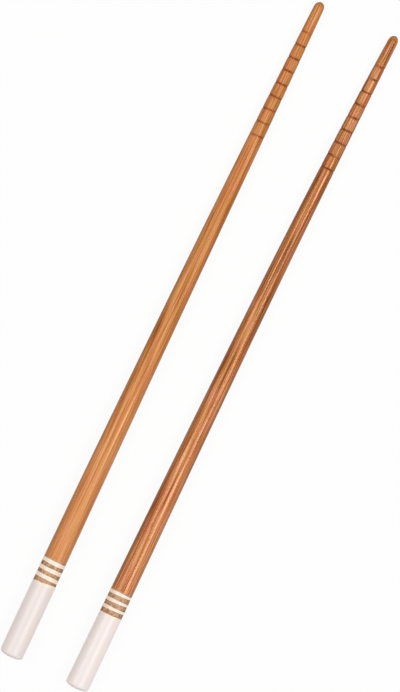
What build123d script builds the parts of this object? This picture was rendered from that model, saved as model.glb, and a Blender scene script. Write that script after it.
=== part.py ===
from build123d import *
import os
from math import atan2, cos, radians, sin

# A pair of turned wooden chopsticks with painted ends, lying side by side, tips towards +Y.
# Millimetres, +Z up. The origin is on the table, under the middle of the pair.
# Each stick is turned along its own Z, which runs from its tip to its butt, and is then laid down.

# Lengths and ends; the second stick of the pair came out a little longer at the tip
left_length = 240.0
right_length = 240.6
tip_dome_length = 2.2
butt_dome_length = 1.3

# Grip grooves cut round the thin end
groove_count = 9
left_first_groove = 11.25
right_first_groove = 11.6
groove_pitch = 4.74
groove_depth = 0.16
groove_width = 0.54
groove_tool_height = 0.6
groove_runout = 0.02
groove_runout_angle = 20.0
left_groove_depth_shares = (0.50, 0.90, 1.00, 1.00, 0.90, 0.95, 0.65, 0.65, 0.45)
right_groove_depth_shares = (0.60, 0.60, 0.80, 0.85, 0.80, 1.00, 0.65, 0.60, 0.90)

# Paint on the thick end: one long dipped stretch and three rings before it
paint_film = 0.05
painted_end_length = 27.0
ring_count = 3
ring_pitch = 2.67
left_ring_width = 1.35
right_ring_width = 1.05

# Diameters of the bare wood at five stations: tip, neck past the grooves, body, rings and butt
station_shares = (0.0, 0.21, 0.55, 0.855, 1.0)
left_tip_diameter = 3.38
left_neck_diameter = 5.04
left_body_diameter = 6.74
left_rings_diameter = 7.85
left_butt_diameter = 7.90
right_tip_diameter = 3.24
right_neck_diameter = 4.86
right_body_diameter = 6.38
right_rings_diameter = 7.60
right_butt_diameter = 7.94

# How the sticks lie: the distance between their axes at each end, and the sideways bow of each.
# A lean above zero moves the deepest part of the bow from the middle towards the tip.
tip_spacing = 27.0
butt_spacing = 24.1
left_bow = 0.58
right_bow = 1.13
left_bow_lean = 0.0
right_bow_lean = 0.45

# Number of round sections that carry the taper along the bowed axis
section_count = 8


def taper_curve(length, diameters):
    """Half outline of the bare wood: distance from the tip along X, radius along Y."""
    stations = [share * length for share in station_shares]
    with BuildLine() as outline:
        Spline(*[(station, diameter / 2) for station, diameter in zip(stations, diameters)])
    return outline.edge()


def radius_at(taper, distance):
    """Radius of the bare wood at a distance from the tip."""
    return taper.position_at(distance, position_mode=PositionMode.LENGTH).Y


def axis_point(length, bow, bow_lean, distance):
    """Point of the bowed axis at a distance from the tip."""
    share = distance / length
    return Vector(4 * bow * share * (1 - share) * (1 + bow_lean * (1 - 2 * share)), 0, distance)


def half_plane(point):
    """Plane that holds the axis at a point of it, its X outwards and its Y towards the butt."""
    return Plane(point, x_dir=(1, 0, 0), z_dir=(0, -1, 0))


def turned_stick(length, taper, bow, bow_lean, first_groove, groove_depth_shares, ring_width):
    """One stick: tapered body, rounded ends, grip grooves and the raised film of its paint."""
    body_start = tip_dome_length
    body_end = length - butt_dome_length
    paint_start = length - painted_end_length
    groove_slope = groove_width / (2 * groove_depth)

    with BuildPart() as stick:
        # Tapered body, round at every section
        for index in range(section_count):
            distance = body_start + (body_end - body_start) * index / (section_count - 1)
            with BuildSketch(Plane(axis_point(length, bow, bow_lean, distance))):
                Circle(radius_at(taper, distance))
        loft(ruled=True)

        # Grip grooves, shallow V-shaped rings, each a little off the axis
        for index in range(groove_count):
            distance = first_groove + index * groove_pitch
            depth = groove_depth * groove_depth_shares[index % len(groove_depth_shares)]
            bottom_radius = radius_at(taper, distance) - depth
            turn = radians(groove_runout_angle + 360 * index / groove_count)
            runout = groove_runout * Vector(cos(turn), sin(turn))
            groove_point = axis_point(length, bow, bow_lean, distance) + runout
            with BuildSketch(half_plane(groove_point)):
                with BuildLine():
                    Polyline(
                        (bottom_radius, 0),
                        (bottom_radius + groove_tool_height, -groove_tool_height * groove_slope),
                        (bottom_radius + groove_tool_height, groove_tool_height * groove_slope),
                        close=True,
                    )
                make_face()
            revolve(axis=Axis(groove_point, (0, 0, 1)), mode=Mode.SUBTRACT)

        # Painted rings, a film's thickness proud of the wood
        for index in range(ring_count):
            ring_start = paint_start - (ring_count - index) * ring_pitch
            for distance in (ring_start, ring_start + ring_width):
                with BuildSketch(Plane(axis_point(length, bow, bow_lean, distance))):
                    Circle(radius_at(taper, distance) + paint_film)
            loft()

        # Painted thick end
        for distance in (paint_start, body_end):
            with BuildSketch(Plane(axis_point(length, bow, bow_lean, distance))):
                Circle(radius_at(taper, distance) + paint_film)
        loft()

        # Long rounded tip
        tip_point = axis_point(length, bow, bow_lean, body_start)
        tip_radius = radius_at(taper, body_start)
        with BuildSketch(half_plane(tip_point)):
            with BuildLine():
                Line((0, 0), (tip_radius, 0))
                EllipticalCenterArc((0, 0), tip_radius, tip_dome_length, arc_size=-90)
                Line((0, -tip_dome_length), (0, 0))
            make_face()
        revolve(axis=Axis(tip_point, (0, 0, 1)))

        # Low rounded butt under the paint
        butt_point = axis_point(length, bow, bow_lean, body_end)
        butt_radius = radius_at(taper, body_end) + paint_film
        with BuildSketch(half_plane(butt_point)):
            with BuildLine():
                Line((0, 0), (butt_radius, 0))
                EllipticalCenterArc((0, 0), butt_radius, butt_dome_length, arc_size=90)
                Line((0, butt_dome_length), (0, 0))
            make_face()
        revolve(axis=Axis(butt_point, (0, 0, 1)))
    return stick


def laid_down(stick, length, taper, tip_x, butt_x):
    """The stick turned to lie along Y, its butt at Y zero, its bow towards -X and its lower side level.

    The axis rises towards the butt as fast as the radius grows between the body and the rings.
    """
    body = station_shares[2] * length
    rings = station_shares[3] * length
    incline = atan2(radius_at(taper, rings) - radius_at(taper, body), rings - body)
    yaw = atan2(butt_x - tip_x, length)
    across = Vector(-cos(yaw), -sin(yaw), 0)
    towards_butt = Vector(sin(yaw) * cos(incline), -cos(yaw) * cos(incline), sin(incline))
    return stick.part.moved(Plane((tip_x, length, 0), x_dir=across, z_dir=towards_butt).location)


left_taper = taper_curve(
    left_length,
    (left_tip_diameter, left_neck_diameter, left_body_diameter, left_rings_diameter, left_butt_diameter),
)
right_taper = taper_curve(
    right_length,
    (right_tip_diameter, right_neck_diameter, right_body_diameter, right_rings_diameter, right_butt_diameter),
)
left_turned = turned_stick(
    left_length,
    left_taper,
    left_bow,
    left_bow_lean,
    left_first_groove,
    left_groove_depth_shares,
    left_ring_width,
)
right_turned = turned_stick(
    right_length,
    right_taper,
    right_bow,
    right_bow_lean,
    right_first_groove,
    right_groove_depth_shares,
    right_ring_width,
)
left_laid = laid_down(left_turned, left_length, left_taper, -tip_spacing / 2, -butt_spacing / 2)
right_laid = laid_down(right_turned, right_length, right_taper, tip_spacing / 2, butt_spacing / 2)

# Both sticks are lowered onto the table, and the pair is centred on the origin
middle = Compound([left_laid, right_laid]).bounding_box().center()

with BuildPart() as chopstick_left:
    with Locations((-middle.X, -middle.Y, -left_laid.bounding_box().min.Z)):
        add(left_laid)
chopstick_left.part.label = "chopstick_left"

with BuildPart() as chopstick_right:
    with Locations((-middle.X, -middle.Y, -right_laid.bounding_box().min.Z)):
        add(right_laid)
chopstick_right.part.label = "chopstick_right"

os.makedirs("parts", exist_ok=True)
export_step(chopstick_left.part, "parts/chopstick_left.step")
export_step(chopstick_right.part, "parts/chopstick_right.step")
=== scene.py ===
"""A pair of turned wooden chopsticks with grip grooves and painted handles, dressed on the CAD frame.

Lengths are millimetres in the sizes of the sticks and metres in the meshes. Each stick is turned along
its own Z, from its tip to its butt, as it would be on a lathe, and is then laid down in the row's frame.
"""

import logging
from dataclasses import dataclass, replace
from enum import Enum
from math import atan2, cos, pi, radians, sin

import bpy
import numpy as np
from mathutils import Matrix, Vector

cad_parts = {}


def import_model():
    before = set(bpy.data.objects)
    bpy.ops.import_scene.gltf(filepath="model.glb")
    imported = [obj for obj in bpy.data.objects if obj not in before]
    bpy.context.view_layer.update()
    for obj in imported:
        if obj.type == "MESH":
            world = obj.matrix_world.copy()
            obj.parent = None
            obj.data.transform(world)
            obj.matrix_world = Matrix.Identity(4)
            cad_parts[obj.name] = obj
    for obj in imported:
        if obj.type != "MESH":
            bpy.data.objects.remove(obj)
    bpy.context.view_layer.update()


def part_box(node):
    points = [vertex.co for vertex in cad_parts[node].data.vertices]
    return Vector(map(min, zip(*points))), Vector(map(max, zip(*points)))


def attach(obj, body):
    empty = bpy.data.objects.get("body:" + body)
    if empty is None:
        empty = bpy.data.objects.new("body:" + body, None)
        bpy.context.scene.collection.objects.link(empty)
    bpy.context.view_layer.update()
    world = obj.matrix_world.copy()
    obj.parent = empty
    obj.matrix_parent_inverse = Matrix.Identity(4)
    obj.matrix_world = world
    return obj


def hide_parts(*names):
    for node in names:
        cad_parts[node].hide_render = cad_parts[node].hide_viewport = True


MM = 0.001
ROOT_BODY = "root"

Colour = tuple[float, float, float, float]
Span = tuple[float, float]

log = logging.getLogger("chopsticks")


# Shader values


class Wire:
    """A number, colour or place on its way through a material; arithmetic on it adds Math nodes."""

    MIDDLE_OF_NOISE = 0.5

    def __init__(self, tree: "ShaderTree", socket: bpy.types.NodeSocket | None) -> None:
        """Keeps the tree and the output socket."""
        self.tree = tree
        self.socket = socket

    def _math(self, operation: str, *values: "float | Wire") -> "Wire":
        """Adds one Math node on the numbers or wires and hands on its result."""
        return self.tree.node("ShaderNodeMath", {"operation": operation}, dict(enumerate(values)))

    def __add__(self, other: "float | Wire") -> "Wire":
        """Sum."""
        return self._math("ADD", self, other)

    def __radd__(self, other: "float | Wire") -> "Wire":
        """Sum, the wire on the right."""
        return self._math("ADD", other, self)

    def __sub__(self, other: "float | Wire") -> "Wire":
        """Difference."""
        return self._math("SUBTRACT", self, other)

    def __rsub__(self, other: "float | Wire") -> "Wire":
        """Difference, the wire on the right."""
        return self._math("SUBTRACT", other, self)

    def __mul__(self, other: "float | Wire") -> "Wire":
        """Product."""
        return self._math("MULTIPLY", self, other)

    def __rmul__(self, other: "float | Wire") -> "Wire":
        """Product, the wire on the right."""
        return self._math("MULTIPLY", other, self)

    def __abs__(self) -> "Wire":
        """Size without its sign."""
        return self._math("ABSOLUTE", self)

    def centred(self) -> "Wire":
        """Noise as a swing to either side of 0."""
        return self - self.MIDDLE_OF_NOISE

    def ramp(self, low: float, high: float) -> "Wire":
        """Smooth step from 0 at low to 1 at high, which may lie below low."""
        settings = {"interpolation_type": "SMOOTHSTEP"}
        return self.tree.node("ShaderNodeMapRange", settings, {"Value": self, 1: low, 2: high})

    def scaled(self, *factors: float) -> "Wire":
        """A place with each of its three axes stretched by its own factor."""
        return self.tree.vector("MULTIPLY", {0: self, 1: factors})


class ShaderTree:
    """The node tree of one material or of the world, emptied and ready to be filled."""

    def __init__(self, owner: bpy.types.ID) -> None:
        """Empties the owner's tree.

        Args:
            owner: The material or world.
        """
        owner.use_nodes = True
        self.tree = owner.node_tree
        self.tree.nodes.clear()

    def node(
        self, kind: str, settings: dict | None = None, sockets: dict | None = None, out: str | int = 0
    ) -> Wire:
        """Adds a node of any type.

        Args:
            kind: The node's type.
            settings: Its own settings, which are made first; "stops" lists a colour ramp's stops.
            sockets: Values or wires of its input sockets, by name or number.
            out: Name or number of the output to hand on.

        Returns:
            The chosen output, or a wire without a socket where the node has no outputs.
        """
        made = self.tree.nodes.new(kind)
        for name, value in (settings or {}).items():
            if name == "stops":
                self._set_stops(made.color_ramp, value)
            else:
                setattr(made, name, value)
        for name, value in (sockets or {}).items():
            if isinstance(value, Wire):
                self.tree.links.new(value.socket, made.inputs[name])
            else:
                made.inputs[name].default_value = value
        return Wire(self, made.outputs[out] if made.outputs else None)

    @staticmethod
    def _set_stops(ramp: bpy.types.ColorRamp, stops: list[tuple[float, Colour]]) -> None:
        """Gives a colour ramp its stops.

        Args:
            ramp: The ramp, which starts with two stops.
            stops: Pairs of position and colour.
        """
        for position, _ in stops[len(ramp.elements):]:
            ramp.elements.new(position)
        for element, (position, colour) in zip(ramp.elements, stops):
            element.position = position
            element.color = colour

    def attribute(self, name: str, out: str) -> Wire:
        """What the mesh keeps at each vertex under a name, as Vector or as Fac."""
        return self.node("ShaderNodeAttribute", {"attribute_name": name}, out=out)

    def axis(self, place: Wire, name: str) -> Wire:
        """A place's X, Y or Z."""
        return self.node("ShaderNodeSeparateXYZ", None, {0: place}, out=name)

    def vector(self, operation: str, sockets: dict) -> Wire:
        """Adds one Vector Math node and hands on its result."""
        return self.node("ShaderNodeVectorMath", {"operation": operation}, sockets)

    def noise(self, place: Wire, detail: float, roughness: float) -> Wire:
        """Soft noise between 0 and 1, where detail counts its finer layers and roughness weighs them."""
        sockets = {"Vector": place, "Scale": 1.0, "Detail": detail, "Roughness": roughness}
        return self.node("ShaderNodeTexNoise", {"noise_dimensions": "3D"}, sockets)

    def blend(self, amount: Wire, first: Wire | Colour, second: Colour, mode: str = "MIX") -> Wire:
        """Mixes an amount of the second colour into the first."""
        settings = {"data_type": "RGBA", "blend_type": mode}
        return self.node("ShaderNodeMix", settings, {0: amount, 6: first, 7: second}, out=2)

    def bump(self, height: Wire, depth: float) -> Wire:
        """Relief too fine for the mesh, with its depth in millimetres between heights 0 and 1."""
        sockets = {"Height": height, "Distance": depth * MM, "Strength": 1.0}
        return self.node("ShaderNodeBump", None, sockets)

    def finish_surface(self, sockets: dict) -> None:
        """Ends the tree with one glossy surface that has these values or wires on its input sockets."""
        surface = self.node("ShaderNodeBsdfPrincipled", None, sockets)
        self.node("ShaderNodeOutputMaterial", None, {"Surface": surface})


# Finishes


@dataclass(frozen=True)
class Streaks:
    """One kind of streak or cloud in a finish, by how closely it is packed along each axis."""

    across: float
    around: float
    along: float
    detail: float
    roughness: float = 0.5
    window: Span | None = None

    def read(self, tree: ShaderTree, place: Wire) -> Wire:
        """Reads the streaks at a place.

        Args:
            tree: The material's tree.
            place: Where they are read.

        Returns:
            Their value between 0 and 1, stepped where there is a window.
        """
        stretched = place.scaled(self.across, self.around, self.along)
        value = tree.noise(stretched, self.detail, self.roughness)
        return value.ramp(*self.window) if self.window else value


@dataclass(frozen=True)
class Grain:
    """The streaks and clouds that make up the figure of the wood, from the broadest to the finest."""

    patches: Streaks = Streaks(0.30, 0.30, 0.020, detail=2.0)
    wear: Streaks = Streaks(0.80, 0.80, 0.040, detail=2.0, roughness=0.6, window=(0.30, 0.70))
    blotches: Streaks = Streaks(0.85, 0.85, 0.30, detail=2.0)
    figure: Streaks = Streaks(0.95, 0.95, 0.022, detail=1.0, roughness=0.4)
    bands: Streaks = Streaks(1.10, 0.60, 0.014, detail=2.0, window=(0.30, 0.70))
    mottle: Streaks = Streaks(1.2, 1.2, 0.8, detail=3.0, roughness=0.7, window=(0.46, 0.62))
    lines: Streaks = Streaks(2.7, 2.7, 0.048, detail=2.0, roughness=0.6, window=(0.32, 0.68))
    fibres: Streaks = Streaks(3.3, 3.3, 0.040, detail=1.0, window=(0.30, 0.70))
    specks: Streaks = Streaks(6.0, 6.0, 0.9, detail=1.0, window=(0.64, 0.72))


@dataclass(frozen=True)
class Zones:
    """Where a point of the wood lies on the stick, each as a wire that runs from 0 to 1."""

    handle: Wire
    near_tip: Wire
    # Painted shade at the tip's end, laid over its darker end grain.
    end_grain_and_shade: Wire
    bare: Wire
    # Painted shade: the colour is darkened at both sides and on one flank.
    side: Wire
    flank: Wire
    # The grooves' darkening, partly staining and partly painted shade in the recess.
    cut: Wire


@dataclass(frozen=True)
class LacqueredWood:
    """Straight-grained wood under clear lacquer, dull between the rings, darker in the grip grooves with
    staining and painted shade.

    A zone runs from where it starts to where it is full: millimetres from the tip, millimetres before
    the first ring for the bare lead, and shares of the radius for the side and the flank. A window is
    the same for the value of a noise. The contrasts, lifts and shades are steps of tone, where 0 is
    deep and 1 is pale. The shades at the side and the flank are painted shade: they darken the colour
    at both sides of the stick and on one flank.
    """

    name: str
    slot: str
    deep: Colour
    late: Colour
    early: Colour
    pale: Colour
    red: Colour
    honey: Colour
    rosy: Colour
    olive: Colour
    # Painted shade colour, laid at both sides and over the tip's end grain.
    end_grain_and_side_shade: Colour
    # Grooves' colour, partly staining and partly painted shade in the recess.
    groove: Colour
    tone: float
    line_contrast: float
    band_contrast: float
    fibre_contrast: float
    vein_contrast: float
    tip_lift: float
    handle_lift: float
    handle_calm: float
    # Painted shade: steps of tone taken off at both sides and on one flank.
    side_shade: float
    flank_shade: float
    roughness: float
    side_roughness: float
    gloss: float
    coat: float
    coat_roughness: float
    grain_seed: float
    grain_lean: float
    dull: Colour = (0.60, 0.395, 0.262, 1.0)
    # Colour of the bare stretch's grime, with painted shade at its sides.
    bare_grime_and_shade: Colour = (0.13, 0.075, 0.040, 1.0)
    gloss_tint: Colour = (1.0, 0.62, 0.36, 1.0)
    grain: Grain = Grain()
    seed_axes: tuple[float, float, float] = (1.0, 1.7, 2.3)
    handle_zone: Span = (108.0, 175.0)
    tip_zone: Span = (75.0, 15.0)
    end_grain_and_shade_zone: Span = (1.4, 0.0)
    bare_lead: Span = (0.9, 0.2)
    # Where shade is painted: at both sides, and on one flank growing toward the handle.
    side_zone: Span = (0.60, 0.92)
    flank_zone: Span = (0.42, 0.72)
    flank_growth: Span = (70.0, 150.0)
    vein_window: Span = (0.040, 0.0)
    red_window: Span = (0.48, 0.70)
    honey_window: Span = (0.46, 0.30)
    rosy_window: Span = (0.50, 0.66)
    olive_window: Span = (0.50, 0.34)
    tone_stops: tuple[float, float, float, float] = (0.0, 0.32, 0.60, 1.0)
    red_share: float = 0.55
    honey_share: float = 0.45
    handle_hue_calm: float = 0.35
    speck_share: float = 0.10
    handle_speck_share: float = 0.20
    # Share of painted shade over the end grain at the tip.
    end_grain_and_shade_share: float = 0.75
    dull_share: float = 0.80
    mottle_share: float = 0.65
    # Share of painted shade at the sides of the bare stretch.
    bare_side_share: float = 0.35
    # Shares of painted shade colour at both sides, more of it near the tip.
    side_share: float = 0.25
    tip_side_share: float = 0.30
    fibre_roughness: float = 0.10
    wear_roughness: float = 0.16
    bare_roughness: float = 0.25
    cut_roughness: float = 0.30
    band_relief: float = 0.003

    def _zones(self, tree: ShaderTree, turned: Wire, first_ring: float) -> Zones:
        """Finds where each point lies on the stick.

        Args:
            tree: The material's tree.
            turned: Place on the stick's own axes.
            first_ring: Distance from the tip to the first painted ring.

        Returns:
            The zones.
        """
        along = tree.axis(turned, "Z")
        across = tree.axis(tree.vector("NORMALIZE", {0: turned.scaled(1, 1, 0)}), "X")
        return Zones(
            handle=along.ramp(*self.handle_zone),
            near_tip=along.ramp(*self.tip_zone),
            end_grain_and_shade=along.ramp(*self.end_grain_and_shade_zone),
            bare=along.ramp(*(first_ring - lead for lead in self.bare_lead)),
            # Painted shade falls at both sides and on one flank.
            side=abs(across).ramp(*self.side_zone),
            flank=across.ramp(*self.flank_zone) * along.ramp(*self.flank_growth),
            # The grooves' darkening, partly staining and partly painted shade, as the mesh keeps it.
            cut=tree.attribute("cut", "Fac"),
        )

    def _grain_place(self, tree: ShaderTree, turned: Wire) -> Wire:
        """Moves each point to this stick's own piece of wood, whose grain leans a little.

        Args:
            tree: The material's tree.
            turned: Place on the stick's own axes.

        Returns:
            The place at which the grain is read.
        """
        start = tuple(self.grain_seed * factor for factor in self.seed_axes)
        lean = tree.vector("SCALE", {0: (self.grain_lean, 0, 0), "Scale": tree.axis(turned, "Z")})
        return tree.vector("ADD", {0: tree.vector("ADD", {0: turned, 1: start}), 1: lean})

    def _tone(self, tree: ShaderTree, place: Wire, zones: Zones, bands: Wire, fibres: Wire) -> Wire:
        """Works out how light the wood is, with painted shade at both sides and on one flank.

        Args:
            tree: The material's tree.
            place: Place at which the grain is read.
            zones: Where the point lies on the stick.
            bands: Broad bands of the grain.
            fibres: Fine fibres of the grain.

        Returns:
            The tone, 0 where the wood is deep and 1 where it is pale.
        """
        lines = self.grain.lines.read(tree, place)
        veins = abs(self.grain.figure.read(tree, place).centred()).ramp(*self.vein_window)
        streaks = self.line_contrast * lines.centred() - self.vein_contrast * veins
        streaks = streaks * (1 - self.handle_calm * zones.handle)
        tone = self.tone + self.band_contrast * bands.centred() + streaks
        tone = tone + self.fibre_contrast * fibres.centred()
        tone = tone + self.handle_lift * zones.handle + self.tip_lift * zones.near_tip
        # Painted shade: the tone is darker at both sides and on one flank toward the handle.
        return tone - self.side_shade * zones.side - self.flank_shade * zones.flank

    def _colour(self, tree: ShaderTree, place: Wire, zones: Zones, tone: Wire) -> Wire:
        """Turns the tone into the wood's colour, lays patches, specks, grime and groove staining over it,
        and paints shade at its sides, tip end and grooves.

        Args:
            tree: The material's tree.
            place: Place at which the grain is read.
            zones: Where the point lies on the stick.
            tone: How light the wood is.

        Returns:
            The colour.
        """
        grain = self.grain
        stops = list(zip(self.tone_stops, (self.deep, self.late, self.early, self.pale)))
        colour = tree.node("ShaderNodeValToRGB", {"stops": stops}, {0: tone})

        patches = grain.patches.read(tree, place)
        colour = tree.blend(patches.ramp(*self.red_window) * self.red_share, colour, self.red)
        colour = tree.blend(patches.ramp(*self.honey_window) * self.honey_share, colour, self.honey)
        blotches = grain.blotches.read(tree, place)
        hue_share = 1 - self.handle_hue_calm * zones.handle
        colour = tree.blend(blotches.ramp(*self.rosy_window) * hue_share, colour, self.rosy, "MULTIPLY")
        colour = tree.blend(blotches.ramp(*self.olive_window) * hue_share, colour, self.olive, "MULTIPLY")
        speck_share = self.speck_share + self.handle_speck_share * zones.handle
        colour = tree.blend(grain.specks.read(tree, place) * speck_share, colour, self.deep)

        # The tip's end is painted darker: partly its end grain, partly painted shade.
        colour = tree.blend(zones.end_grain_and_shade * self.end_grain_and_shade_share, colour, self.end_grain_and_side_shade)
        colour = tree.blend(zones.bare * self.dull_share, colour, self.dull)
        # Grime on the bare stretch is mottled, and painted shade is added at its sides.
        mottle_and_side_shade = grain.mottle.read(tree, place) * self.mottle_share + self.bare_side_share * zones.side
        colour = tree.blend(zones.bare * mottle_and_side_shade, colour, self.bare_grime_and_shade)
        # Painted shade: a darker, duller colour at both sides, stronger near the tip, for the outline's
        # shade.
        side_share = self.side_share + self.tip_side_share * zones.near_tip
        colour = tree.blend(zones.side * zones.side * side_share, colour, self.end_grain_and_side_shade)
        # The grooves are darkened: partly staining, partly painted shade in the recess.
        return tree.blend(zones.cut, colour, self.groove)

    def _dullness(self, zones: Zones, fibres: Wire, wear: Wire) -> Wire:
        """Works out how rough the lacquer is.

        Args:
            zones: Where the point lies on the stick.
            fibres: Fine fibres of the grain.
            wear: Soft streaks in which the lacquer is worn.

        Returns:
            The roughness.
        """
        rough = self.roughness + self.fibre_roughness * fibres.centred()
        rough = rough + self.wear_roughness * wear.centred()
        rough = rough + self.bare_roughness * zones.bare + self.cut_roughness * zones.cut
        return rough + self.side_roughness * zones.side

    def material(self, first_ring: float) -> bpy.types.Material:
        """Builds the wood.

        Args:
            first_ring: Distance from the tip to the first painted ring, where the dull stretch starts.

        Returns:
            The material.
        """
        made = bpy.data.materials.new(self.name)
        tree = ShaderTree(made)
        turned = tree.attribute("turned", "Vector")
        zones = self._zones(tree, turned, first_ring)
        place = self._grain_place(tree, turned)
        bands = self.grain.bands.read(tree, place)
        fibres = self.grain.fibres.read(tree, place)
        wear = self.grain.wear.read(tree, place)
        tone = self._tone(tree, place, zones, bands, fibres)
        tree.finish_surface({
            "Base Color": self._colour(tree, place, zones, tone),
            "Roughness": self._dullness(zones, fibres, wear),
            "Normal": tree.bump(bands, self.band_relief),
            "Specular IOR Level": self.gloss,
            "Specular Tint": self.gloss_tint,
            "Coat Weight": self.coat,
            "Coat Roughness": self.coat_roughness,
        })
        return made


@dataclass(frozen=True)
class HandlePaint:
    """Off-white lacquer on the handle, a little creamier on the rings and at the long stretch's edge."""

    name: str
    slot: str
    white: Colour
    cream: Colour
    shade: Colour
    roughness: float
    clouds: Streaks = Streaks(0.25, 0.25, 0.07, detail=3.0, window=(0.42, 0.66))
    brushing: Streaks = Streaks(2.4, 2.4, 0.10, detail=3.0, roughness=0.6)
    brush_marks: Span = (0.52, 0.80)
    creamy_edge: Span = (0.1, 1.3)
    cloud_share: float = 0.16
    brush_share: float = 0.12
    brush_roughness: float = 0.10
    brush_relief: float = 0.012

    def material(self, paint_start: float) -> bpy.types.Material:
        """Builds the paint.

        Args:
            paint_start: Distance from the tip to the long painted stretch.

        Returns:
            The material.
        """
        made = bpy.data.materials.new(self.name)
        tree = ShaderTree(made)
        turned = tree.attribute("turned", "Vector")
        clouds = self.clouds.read(tree, turned)
        brushing = self.brushing.read(tree, turned)
        past_edge = tree.axis(turned, "Z").ramp(*(paint_start + reach for reach in self.creamy_edge))
        colour = tree.blend(past_edge, self.cream, self.white)
        colour = tree.blend(clouds * self.cloud_share, colour, self.cream)
        colour = tree.blend(brushing.ramp(*self.brush_marks) * self.brush_share, colour, self.shade)
        tree.finish_surface({
            "Base Color": colour,
            "Roughness": self.roughness + self.brush_roughness * brushing,
            "Normal": tree.bump(brushing, self.brush_relief),
        })
        return made


# Turned meshes


class Ends(Enum):
    """How a turned mesh ends: at a point on the axis at both ends, or joined round to its first ring."""

    POLES = "poles"
    LOOPED = "looped"


def smooth_window(offset: np.ndarray, reach: float) -> np.ndarray:
    """Weights that fall smoothly from 1 at a feature to 0 at its reach along the stick."""
    return np.cos(np.clip(np.abs(offset) / reach, 0, 1) * pi / 2) ** 2


@dataclass(frozen=True)
class Taper:
    """Diameters of the bare wood at five stations from tip to butt."""

    length: float
    diameters: tuple[float, float, float, float, float]
    station_shares: tuple[float, float, float, float, float] = (0.0, 0.21, 0.55, 0.855, 1.0)

    def radius(self, distance: np.ndarray | float) -> np.ndarray | float:
        """Works out the radius of the bare wood.

        Args:
            distance: Distance from the tip.

        Returns:
            Radius there, from the one smooth curve through all the stations.
        """
        shares = np.array(self.station_shares)
        curve = np.polyfit(shares, np.array(self.diameters) / 2, len(shares) - 1)
        return np.polyval(curve, distance / self.length)


@dataclass(frozen=True)
class Ripple:
    """The hand-made waviness of a line round the stick: a slant and a few small waves."""

    slant: float
    slant_towards: float
    wave: float
    seed: int
    waves_round: tuple[int, ...] = (2, 3, 5, 8, 13, 19, 27)
    fading: float = 0.3

    def shift(self, turn: np.ndarray) -> np.ndarray:
        """Works out how far the line runs towards the butt.

        Args:
            turn: Angles round the stick.

        Returns:
            Shift at each angle.
        """
        draw = np.random.default_rng(self.seed)
        total = self.slant * np.cos(turn - radians(self.slant_towards))
        for count in self.waves_round:
            height = self.wave * draw.normal() / count ** self.fading
            total = total + height * np.cos(count * turn + draw.uniform(0, 2 * pi))
        return total


@dataclass(frozen=True)
class GripGroove:
    """One groove cut round the thin end, deeper on one side."""

    centre: float
    share: float
    # Share of the groove's darkening, staining with painted shade.
    stain_and_shade: float
    lopsided: float
    heavier_at: float
    ripple: Ripple
    uneven_round: tuple[int, ...] = (3, 4, 7)
    unevenness: float = 0.10
    seed_step: int = 500

    def strength(self, turn: np.ndarray) -> np.ndarray:
        """Works out how strong the groove is at each angle.

        Args:
            turn: Angles round the stick.

        Returns:
            Shares of its mean strength.
        """
        draw = np.random.default_rng(self.ripple.seed + self.seed_step)
        strength = 1 + self.lopsided * np.cos(turn - radians(self.heavier_at))
        for count in self.uneven_round:
            height = self.unevenness * draw.normal()
            strength = strength + height * np.cos(count * turn + draw.uniform(0, 2 * pi))
        return np.clip(strength, 0, None)


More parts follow.
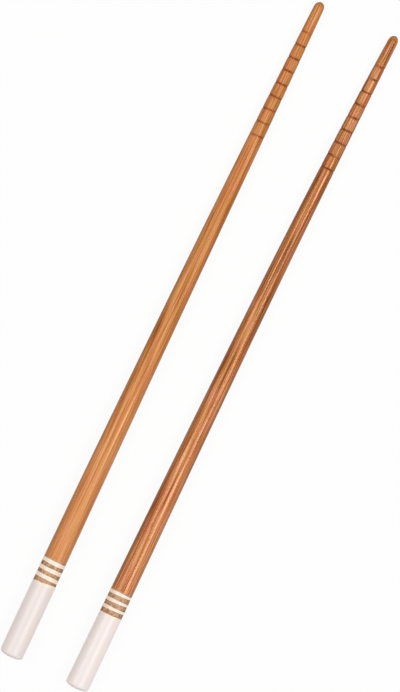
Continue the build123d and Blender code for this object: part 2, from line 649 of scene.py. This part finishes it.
@dataclass
class Chopstick:
    """One stick: its turned wood and the film of paint on its handle.

    Each groove has a share of the full depth, a share of the full darkening, which is partly staining
    and partly painted shade, and in groove_sides how lopsided it is and the angle at which it is
    heavier. Each edge of the paint has in edge_ripples its slant, the angle that it slants towards and
    the height of its small waves.
    """

    node: str
    taper: Taper
    bow: float
    bow_lean: float
    tip_x: float
    butt_x: float
    first_groove: float
    ring_width: float
    wood: LacqueredWood
    paint: HandlePaint
    groove_shares: tuple[float, ...]
    groove_stain_and_shade: tuple[float, ...]
    groove_sides: tuple[tuple[float, float], ...]
    edge_ripples: tuple[tuple[float, float, float], ...]
    seed: int
    tip_dome: float = 2.2
    butt_dome: float = 1.3
    butt_squareness: float = 2.3
    groove_pitch: float = 4.74
    groove_depth: float = 0.16
    groove_half_width: float = 0.26
    most_groove_share: float = 1.1
    groove_slants: Span = (0.02, 0.12)
    groove_wave: float = 0.028
    groove_seed_step: int = 40
    # Half width of the grooves' darkening, staining with painted shade.
    stain_and_shade_half_width: float = 0.36
    ripple_reach: float = 1.15
    film: float = 0.05
    film_lip: float = 0.10
    film_sunk_share: float = 0.5
    painted_end: float = 27.0
    ring_count: int = 3
    ring_pitch: float = 2.67
    edge_seed_step: int = 80
    columns: int = 120
    dome_rings: int = 16
    first_dome_ring: float = 0.04
    lip_rings: int = 5
    paint_ring_rows: int = 4
    wood_row_gap: float = 1.5
    paint_row_gap: float = 1.0
    groove_rows: int = 21
    groove_rows_reach: float = 1.0
    least_row_gap: float = 0.02

    def __post_init__(self) -> None:
        """Works out what the other methods share."""
        self.length = self.taper.length
        self.turn = np.linspace(0, 2 * pi, self.columns, endpoint=False)
        self.paint_start = self.length - self.painted_end
        self.body_end = self.length - self.butt_dome
        self.dome = 1 - np.cos(np.linspace(self.first_dome_ring, 1, self.dome_rings) * pi / 2)
        self.grooves = [self._groove(index) for index in range(len(self.groove_shares))]
        self.stretches = self._painted_stretches()

    def _groove(self, index: int) -> GripGroove:
        """Makes one of the grooves.

        Args:
            index: Its number, counted from the tip.

        Returns:
            The groove.
        """
        lopsided, heavier_at = self.groove_sides[index]
        draw = np.random.default_rng(self.seed + index)
        slant, towards = draw.uniform(*self.groove_slants), draw.uniform(0, 360)
        ripple = Ripple(slant, towards, self.groove_wave, self.seed + self.groove_seed_step + index)
        centre = self.first_groove + index * self.groove_pitch
        shares = (self.groove_shares[index], self.groove_stain_and_shade[index])
        return GripGroove(centre, *shares, lopsided, heavier_at, ripple)

    def _painted_stretches(self) -> list[Span]:
        """Start and end of each ring and of the long stretch, which runs on to the butt."""
        starts = [self.paint_start - step * self.ring_pitch for step in range(self.ring_count, 0, -1)]
        return [(start, start + self.ring_width) for start in starts] + [(self.paint_start, self.length)]

    def _edges(self) -> list[tuple[float, Ripple]]:
        """Finds every edge of the paint.

        Returns:
            Distance from the tip and ripple of each edge, in order from the tip.
        """
        places = [place for stretch in self.stretches for place in stretch][:-1]
        first_seed = self.seed + self.edge_seed_step
        return [
            (place, Ripple(*shape, first_seed + index))
            for index, (place, shape) in enumerate(zip(places, self.edge_ripples))
        ]

    def radius(self, distance: np.ndarray) -> np.ndarray:
        """Works out the radius of the bare wood with its rounded ends.

        Args:
            distance: Distances from the tip.

        Returns:
            The radii, 0 at both ends.
        """
        held = np.clip(distance, self.tip_dome, self.body_end)
        tip_share = np.clip((self.tip_dome - distance) / self.tip_dome, 0, 1)
        butt_share = np.clip((distance - self.body_end) / self.butt_dome, 0, 1)
        power = self.butt_squareness
        rounding = np.sqrt(1 - tip_share ** 2) * (1 - butt_share ** power) ** (1 / power)
        return self.taper.radius(held) * rounding

    def rippled(self, distance: np.ndarray) -> np.ndarray:
        """Lets each ring of the mesh follow the waviness of the features near it.

        Args:
            distance: Distance of each ring from the tip.

        Returns:
            Distance of each vertex from the tip, a row for each ring.
        """
        shift = np.zeros((len(distance), self.columns))
        features = [(groove.centre, groove.ripple) for groove in self.grooves] + self._edges()
        for centre, ripple in features:
            weight = smooth_window(distance - centre, self.ripple_reach)
            shift += weight[:, None] * ripple.shift(self.turn)[None, :]
        return distance[:, None] + shift

    def to_row(self, points: np.ndarray) -> np.ndarray:
        """Lays points of the turned stick down in the row's frame.

        Args:
            points: Places on the stick's own axes, in millimetres.

        Returns:
            The places in the row's frame, in metres, before the stick is lowered onto the table.
        """
        body, rings = (share * self.length for share in self.taper.station_shares[2:4])
        incline = atan2(self.taper.radius(rings) - self.taper.radius(body), rings - body)
        yaw = atan2(self.butt_x - self.tip_x, self.length)
        across = Vector((-cos(yaw), -sin(yaw), 0))
        towards_butt = Vector((sin(yaw) * cos(incline), -cos(yaw) * cos(incline), sin(incline)))
        down = towards_butt.cross(across)
        turned = np.array(Matrix((across, down, towards_butt)).transposed())
        origin = np.array((self.tip_x, self.length, 0))
        return (points @ turned.T + origin) * MM

    def _faces(self, count: int, ends: Ends) -> list[list[int]]:
        """Joins the rings of a mesh.

        Args:
            count: Number of rings.
            ends: How the rings begin and end.

        Returns:
            Vertices of the four-sided faces between rings, and of the three-sided ones at poles.
        """
        column = np.arange(self.columns)
        after = (column + 1) % self.columns
        starts = [ring * self.columns for ring in range(count)]
        followed = starts[1:] + (starts[:1] if ends is Ends.LOOPED else [])
        faces = []
        for here, there in zip(starts, followed):
            corners = [here + column, here + after, there + after, there + column]
            faces += np.stack(corners, axis=-1).tolist()
        if ends is Ends.POLES:
            tip, butt = count * self.columns, count * self.columns + 1
            faces += [[tip, int(j), int(i)] for i, j in zip(column, after)]
            faces += [[starts[-1] + int(i), starts[-1] + int(j), butt] for i, j in zip(column, after)]
        return faces

    def turned_mesh(self, name: str, rings: np.ndarray, radius: np.ndarray, ends: Ends) -> bpy.types.Object:
        """Makes a mesh from rings round the stick's axis.

        Args:
            name: Name of the piece.
            rings: Distance of each ring from the tip.
            radius: Radius of each vertex, a row for each ring.
            ends: How the rings begin and end.

        Returns:
            The piece, linked to the scene, still at the height of the turned stick.
        """
        distance = self.rippled(rings)
        share = distance / self.length
        spokes = np.stack([radius * np.cos(self.turn), radius * np.sin(self.turn), distance], axis=-1)
        bowed = spokes.copy()
        bowed[..., 0] += 4 * self.bow * share * (1 - share) * (1 + self.bow_lean * (1 - 2 * share))
        points, own = bowed.reshape(-1, 3), spokes.reshape(-1, 3)
        if ends is Ends.POLES:
            poles = bowed[[0, -1]].mean(axis=1)
            points, own = np.vstack([points, poles]), np.vstack([own, poles])

        mesh = bpy.data.meshes.new(name)
        mesh.from_pydata(self.to_row(points).tolist(), [], self._faces(len(rings), ends))
        mesh.attributes.new("turned", "FLOAT_VECTOR", "POINT").data.foreach_set("vector", own.ravel())
        mesh.polygons.foreach_set("use_smooth", [True] * len(mesh.polygons))
        mesh.validate()
        mesh.update()
        piece = bpy.data.objects.new(name, mesh)
        bpy.context.scene.collection.objects.link(piece)
        return piece

    def ring_distances(self) -> np.ndarray:
        """Places the wood's rings, close together at the ends and the grooves.

        Returns:
            Distances from the tip, in order.
        """
        tip = self.tip_dome * self.dome
        butt = self.length - self.butt_dome * self.dome
        even = np.arange(self.tip_dome, self.body_end, self.wood_row_gap)
        near_groove = np.linspace(-self.groove_rows_reach, self.groove_rows_reach, self.groove_rows)
        fine = [groove.centre + near_groove for groove in self.grooves]
        places = np.sort(np.concatenate([tip, butt, even, *fine]))
        return places[np.append(True, np.diff(places) > self.least_row_gap)]

    def build_wood(self) -> bpy.types.Object:
        """Makes the turned wood with its grooves.

        Returns:
            The wooden piece.
        """
        rings = self.ring_distances()
        radius = np.repeat(self.radius(rings)[:, None], self.columns, axis=1)
        cut = np.zeros_like(radius)
        stain_and_shade = np.zeros_like(radius)
        for groove in self.grooves:
            strength = groove.strength(self.turn)[None, :]
            offset = (rings - groove.centre)[:, None]
            depth_here = np.exp(-((offset / self.groove_half_width) ** 2))
            cut += depth_here * np.clip(groove.share * strength, 0, self.most_groove_share)
            # Each groove's darkening, partly staining and partly painted shade in the recess, kept on the
            # mesh as its cut.
            stain_and_shade_here = np.exp(-((offset / self.stain_and_shade_half_width) ** 2))
            stain_and_shade += stain_and_shade_here * np.clip(groove.stain_and_shade * strength, 0, 1)
        piece = self.turned_mesh(f"turned_{self.node}", rings, radius - self.groove_depth * cut, Ends.POLES)
        stain_and_shade_values = np.append(np.clip(stain_and_shade.ravel(), 0, 1), [0, 0])
        piece.data.attributes.new("cut", "FLOAT", "POINT").data.foreach_set("value", stain_and_shade_values)
        piece.data.materials.append(self.wood.material(self.stretches[0][0]))
        return piece

    def build_film(self, number: int, stretch: Span, coating: bpy.types.Material) -> bpy.types.Object:
        """Makes one painted stretch as a thin closed film round the wood.

        Args:
            number: Count of the stretch from the tip.
            stretch: Where it starts and ends, the last one at the stick's length.
            coating: The paint's material.

        Returns:
            The painted piece.
        """
        start, end = stretch
        gap, lip = self.paint_row_gap, self.film_lip
        quarter = np.linspace(0, 1, self.lip_rings) * pi / 2
        rise = self.film * np.sin(quarter)
        run = lip * (1 - np.cos(quarter))
        if end < self.length:
            middle = np.linspace(start + lip, end - lip, self.paint_ring_rows + 2)[1:-1]
            outer = np.concatenate([start + run, middle, end - run[::-1]])
            lift = np.concatenate([rise, np.full(len(middle), self.film), rise[::-1]])
            inner = np.array([end - lip, start + lip])
        else:
            butt = self.length - self.butt_dome * self.dome[::-1]
            middle = np.arange(start + gap, self.body_end - gap / 2, gap)
            outer = np.concatenate([start + run, middle, butt])
            lift = np.concatenate([rise, np.full(len(middle) + len(butt), self.film)])
            inner = np.concatenate([butt[::-1], [start + lip]])
        rings = np.concatenate([outer, inner])
        lift = np.concatenate([lift, np.full(len(inner), -self.film_sunk_share * self.film)])
        # A known fault: the next two lines turn the long film's faces inward. The remedy is to delete them.
        if end == self.length:
            rings, lift = rings[::-1], lift[::-1]
        radius = np.repeat((self.radius(rings) + lift)[:, None], self.columns, axis=1)
        piece = self.turned_mesh(f"paint_{number}_{self.node}", rings, radius, Ends.LOOPED)
        piece.data.materials.append(coating)
        return piece

    def build(self) -> list[bpy.types.Object]:
        """Makes the stick, lowers it onto its CAD node's place and ties it to the frame.

        Returns:
            The wooden piece and its painted pieces.
        """
        wood = self.build_wood()
        coating = self.paint.material(self.paint_start)
        numbered = enumerate(self.stretches, start=1)
        films = [self.build_film(number, stretch, coating) for number, stretch in numbered]
        corners = [Vector(corner) for piece in (wood, *films) for corner in piece.bound_box]
        low = Vector([min(corner[axis] for corner in corners) for axis in range(3)])
        high = Vector([max(corner[axis] for corner in corners) for axis in range(3)])
        node_low, node_high = (Vector(corner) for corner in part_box(self.node))
        move = (node_low + node_high - low - high) / 2
        move.z = node_low.z - low.z
        for piece in (wood, *films):
            piece.data.transform(Matrix.Translation(move))
            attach(piece, ROOT_BODY)
        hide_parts(self.node)
        return [wood, *films]


# Studio


@dataclass(frozen=True)
class SoftBox:
    """A soft lamp over the table, aimed at the pair, with its long side along the sticks."""

    name: str
    place: tuple[float, float, float]
    size: tuple[float, float]
    power: float

    def build(self) -> bpy.types.Object:
        """Makes the lamp.

        Returns:
            The lamp.
        """
        lamp = bpy.data.lights.new(self.name, "AREA")
        lamp.shape = "RECTANGLE"
        lamp.size, lamp.size_y = self.size
        lamp.energy = self.power
        holder = bpy.data.objects.new(self.name, lamp)
        holder.location = self.place
        holder.rotation_euler = (-Vector(self.place)).to_track_quat("-Z", "X").to_euler()
        bpy.context.scene.collection.objects.link(holder)
        return holder


@dataclass(frozen=True)
class Studio:
    """Pale table, white surroundings, soft lamps and the camera above the pair.

    The camera's places and lengths are millimetres. Those of the table and the lamps are metres.
    """

    view_lean: float = 25.79
    view_centre: tuple[float, float] = (0.09, -0.34)
    view_length: float = 229.05
    camera_height: float = 1600.0
    mid_height: float = 4.0
    sensor: float = 36.0
    table_half: float = 3.0
    table_colour: Colour = (0.84, 0.83, 0.82, 1.0)
    clean_white: Colour = (1.0, 1.0, 1.0, 1.0)
    clean_strength: float = 1.0
    clean_table_share: float = 0.93
    clean_world_share: float = 1.0
    world_strength: float = 0.43
    lamps: tuple[SoftBox, ...] = (
        SoftBox("key_softbox", (0.65, 0.08, 1.07), (0.42, 0.85), 8.1),
        SoftBox("fill_softbox", (-0.65, -0.06, 1.07), (0.38, 0.85), 5.4),
    )

    def _clean_to_camera(self, tree: ShaderTree, lit: Wire, kind: str, share: float) -> Wire:
        """Shows the camera plain white in place of a share of a lit shader.

        Args:
            tree: Tree of the table's material or of the world.
            lit: The shader that light meets.
            kind: Type of the node that makes the white.
            share: Share of white in what the camera sees.

        Returns:
            The mixed shader.
        """
        clean = tree.node(kind, None, {"Color": self.clean_white, "Strength": self.clean_strength})
        seen = tree.node("ShaderNodeLightPath", out="Is Camera Ray")
        return tree.node("ShaderNodeMixShader", None, {0: seen * share, 1: lit, 2: clean})

    def build_table(self) -> bpy.types.Object:
        """Makes the table, which is white to the camera and keeps the sticks' faint shadow.

        Returns:
            The table.
        """
        half = self.table_half
        corners = [(-half, -half, 0), (half, -half, 0), (half, half, 0), (-half, half, 0)]
        mesh = bpy.data.meshes.new("table")
        mesh.from_pydata(corners, [], [(0, 1, 2, 3)])
        table = bpy.data.objects.new("table", mesh)
        bpy.context.scene.collection.objects.link(table)
        made = bpy.data.materials.new("pale_table")
        tree = ShaderTree(made)
        matt = tree.node("ShaderNodeBsdfDiffuse", None, {"Color": self.table_colour})
        mixed = self._clean_to_camera(tree, matt, "ShaderNodeEmission", self.clean_table_share)
        tree.node("ShaderNodeOutputMaterial", None, {"Surface": mixed})
        table.data.materials.append(made)
        return table

    def build_world(self) -> None:
        """Makes the surroundings, plain white to the camera and soft light for the rest."""
        world = bpy.data.worlds.new("white_surroundings")
        bpy.context.scene.world = world
        tree = ShaderTree(world)
        light = tree.node("ShaderNodeBackground", None, {"Strength": self.world_strength})
        mixed = self._clean_to_camera(tree, light, "ShaderNodeBackground", self.clean_world_share)
        tree.node("ShaderNodeOutputWorld", None, {"Surface": mixed})

    def build_camera(self) -> bpy.types.Object:
        """Makes the camera, straight above the pair and turned as the photograph is.

        Returns:
            The camera.
        """
        lens = bpy.data.cameras.new("view_from_above")
        lens.sensor_width = self.sensor
        lens.lens = self.sensor * (self.camera_height - self.mid_height) / self.view_length
        camera = bpy.data.objects.new("view_from_above", lens)
        camera.location = Vector((*self.view_centre, self.camera_height)) * MM
        camera.rotation_euler = (0, 0, radians(self.view_lean))
        bpy.context.scene.collection.objects.link(camera)
        bpy.context.scene.camera = camera
        return camera

    def build(self) -> list[bpy.types.Object]:
        """Sets up the whole studio.

        Returns:
            The table, the lamps and the camera.
        """
        table = self.build_table()
        self.build_world()
        lamps = [lamp.build() for lamp in self.lamps]
        camera = self.build_camera()
        bpy.context.scene.view_settings.view_transform = "Standard"
        return [table, *lamps, camera]


# The pair

TIP_SPACING = 27.0
BUTT_SPACING = 24.1

GOLDEN_WOOD = LacqueredWood(
    name="golden_lacquered_wood",
    slot="golden_wood",
    deep=(0.24, 0.060, 0.004, 1.0),
    late=(0.45, 0.140, 0.023, 1.0),
    early=(0.63, 0.240, 0.077, 1.0),
    pale=(0.845, 0.435, 0.205, 1.0),
    red=(0.60, 0.185, 0.058, 1.0),
    honey=(0.61, 0.282, 0.076, 1.0),
    rosy=(1.05, 0.95, 1.13, 1.0),
    olive=(0.97, 1.03, 0.78, 1.0),
    # The next colour is painted shade at the sides and over the tip's end grain; the groove colour after it
    # is partly staining and partly painted shade.
    end_grain_and_side_shade=(0.340, 0.160, 0.038, 1.0),
    groove=(0.23, 0.034, 0.001, 1.0),
    tone=0.47,
    line_contrast=0.36,
    band_contrast=0.17,
    fibre_contrast=0.46,
    vein_contrast=0.22,
    tip_lift=0.06,
    handle_lift=0.255,
    handle_calm=0.60,
    side_shade=0.10,
    flank_shade=0.14,
    roughness=0.32,
    side_roughness=0.10,
    gloss=0.44,
    coat=0.05,
    coat_roughness=0.30,
    grain_seed=22.06,
    grain_lean=0.006,
)
REDDISH_WOOD = LacqueredWood(
    name="reddish_lacquered_wood",
    slot="reddish_wood",
    deep=(0.15, 0.036, 0.003, 1.0),
    late=(0.375, 0.090, 0.012, 1.0),
    early=(0.562, 0.186, 0.057, 1.0),
    pale=(0.775, 0.38, 0.195, 1.0),
    red=(0.48, 0.128, 0.042, 1.0),
    honey=(0.54, 0.210, 0.064, 1.0),
    rosy=(1.07, 0.94, 1.26, 1.0),
    olive=(0.96, 1.03, 0.62, 1.0),
    # The next colour is painted shade at the sides and over the tip's end grain; the groove colour after it
    # is partly staining and partly painted shade.
    end_grain_and_side_shade=(0.345, 0.142, 0.034, 1.0),
    groove=(0.170, 0.022, 0.001, 1.0),
    tone=0.435,
    line_contrast=0.48,
    band_contrast=0.20,
    fibre_contrast=0.68,
    vein_contrast=0.24,
    tip_lift=0.15,
    handle_lift=0.24,
    handle_calm=0.05,
    side_shade=0.30,
    flank_shade=0.20,
    roughness=0.26,
    side_roughness=0.18,
    gloss=0.78,
    coat=0.08,
    coat_roughness=0.22,
    grain_seed=24.05,
    grain_lean=0.010,
)
HANDLE_PAINT = HandlePaint(
    name="off_white_handle_paint",
    slot="white_paint",
    white=(0.850, 0.765, 0.740, 1.0),
    cream=(1.0, 0.815, 0.66, 1.0),
    shade=(0.76, 0.68, 0.65, 1.0),
    roughness=0.34,
)
WHITER_PAINT = replace(HANDLE_PAINT, name="white_handle_paint", white=(0.885, 0.80, 0.775, 1.0))

LEFT_STICK = Chopstick(
    node="chopstick_left",
    taper=Taper(240.0, (3.38, 5.04, 6.74, 7.85, 7.90)),
    bow=0.58,
    bow_lean=0.0,
    tip_x=-TIP_SPACING / 2,
    butt_x=-BUTT_SPACING / 2,
    first_groove=11.25,
    ring_width=1.35,
    wood=GOLDEN_WOOD,
    paint=HANDLE_PAINT,
    groove_shares=(0.50, 0.90, 1.00, 1.00, 0.90, 0.95, 0.65, 0.65, 0.45),
    # Darkening of each groove, partly staining and partly painted shade.
    groove_stain_and_shade=(0.55, 0.95, 0.97, 0.93, 0.94, 0.78, 0.72, 0.75, 0.48),
    groove_sides=(
        (0.9, 0), (0.1, 40), (0.1, 0), (0.15, 20), (0.2, 0), (0.1, 320), (0.2, 0), (0.2, 30), (0.6, 230),
    ),
    edge_ripples=(
        (0.10, 180, 0.022), (0.05, 180, 0.025), (0.04, 180, 0.022), (0.04, 180, 0.022),
        (0.12, 180, 0.025), (0.12, 180, 0.028), (0.34, 0, 0.095),
    ),
    seed=11,
)
RIGHT_STICK = Chopstick(
    node="chopstick_right",
    taper=Taper(240.6, (3.24, 4.86, 6.38, 7.60, 7.94)),
    bow=1.13,
    bow_lean=0.45,
    tip_x=TIP_SPACING / 2,
    butt_x=BUTT_SPACING / 2,
    first_groove=11.6,
    ring_width=1.05,
    wood=REDDISH_WOOD,
    paint=WHITER_PAINT,
    groove_shares=(0.60, 0.60, 0.80, 0.85, 0.80, 1.00, 0.65, 0.60, 0.90),
    # Darkening of each groove, partly staining and partly painted shade.
    groove_stain_and_shade=(0.32, 0.56, 0.83, 0.90, 0.94, 1.00, 0.86, 0.76, 1.00),
    groove_sides=(
        (0.6, 240), (0.6, 200), (0.1, 0), (0.4, 0), (0.1, 90), (0.1, 0), (0.1, 300), (0.3, 0), (0.1, 60),
    ),
    edge_ripples=(
        (0.05, 180, 0.022), (0.15, 0, 0.022), (0.03, 180, 0.022), (0.15, 0, 0.022),
        (0.03, 180, 0.022), (0.14, 0, 0.022), (0.06, 0, 0.035),
    ),
    seed=211,
)


def main() -> None:
    """Builds the pair and its studio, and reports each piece."""
    logging.basicConfig(level=logging.INFO, format="%(name)s %(message)s")
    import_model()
    for stick in (LEFT_STICK, RIGHT_STICK):
        for piece in stick.build():
            log.info("%s: %d faces", piece.name, len(piece.data.polygons))
    for fitting in Studio().build():
        log.info("%s is in place", fitting.name)
    bpy.context.view_layer.update()


if __name__ == "__main__":
    main()
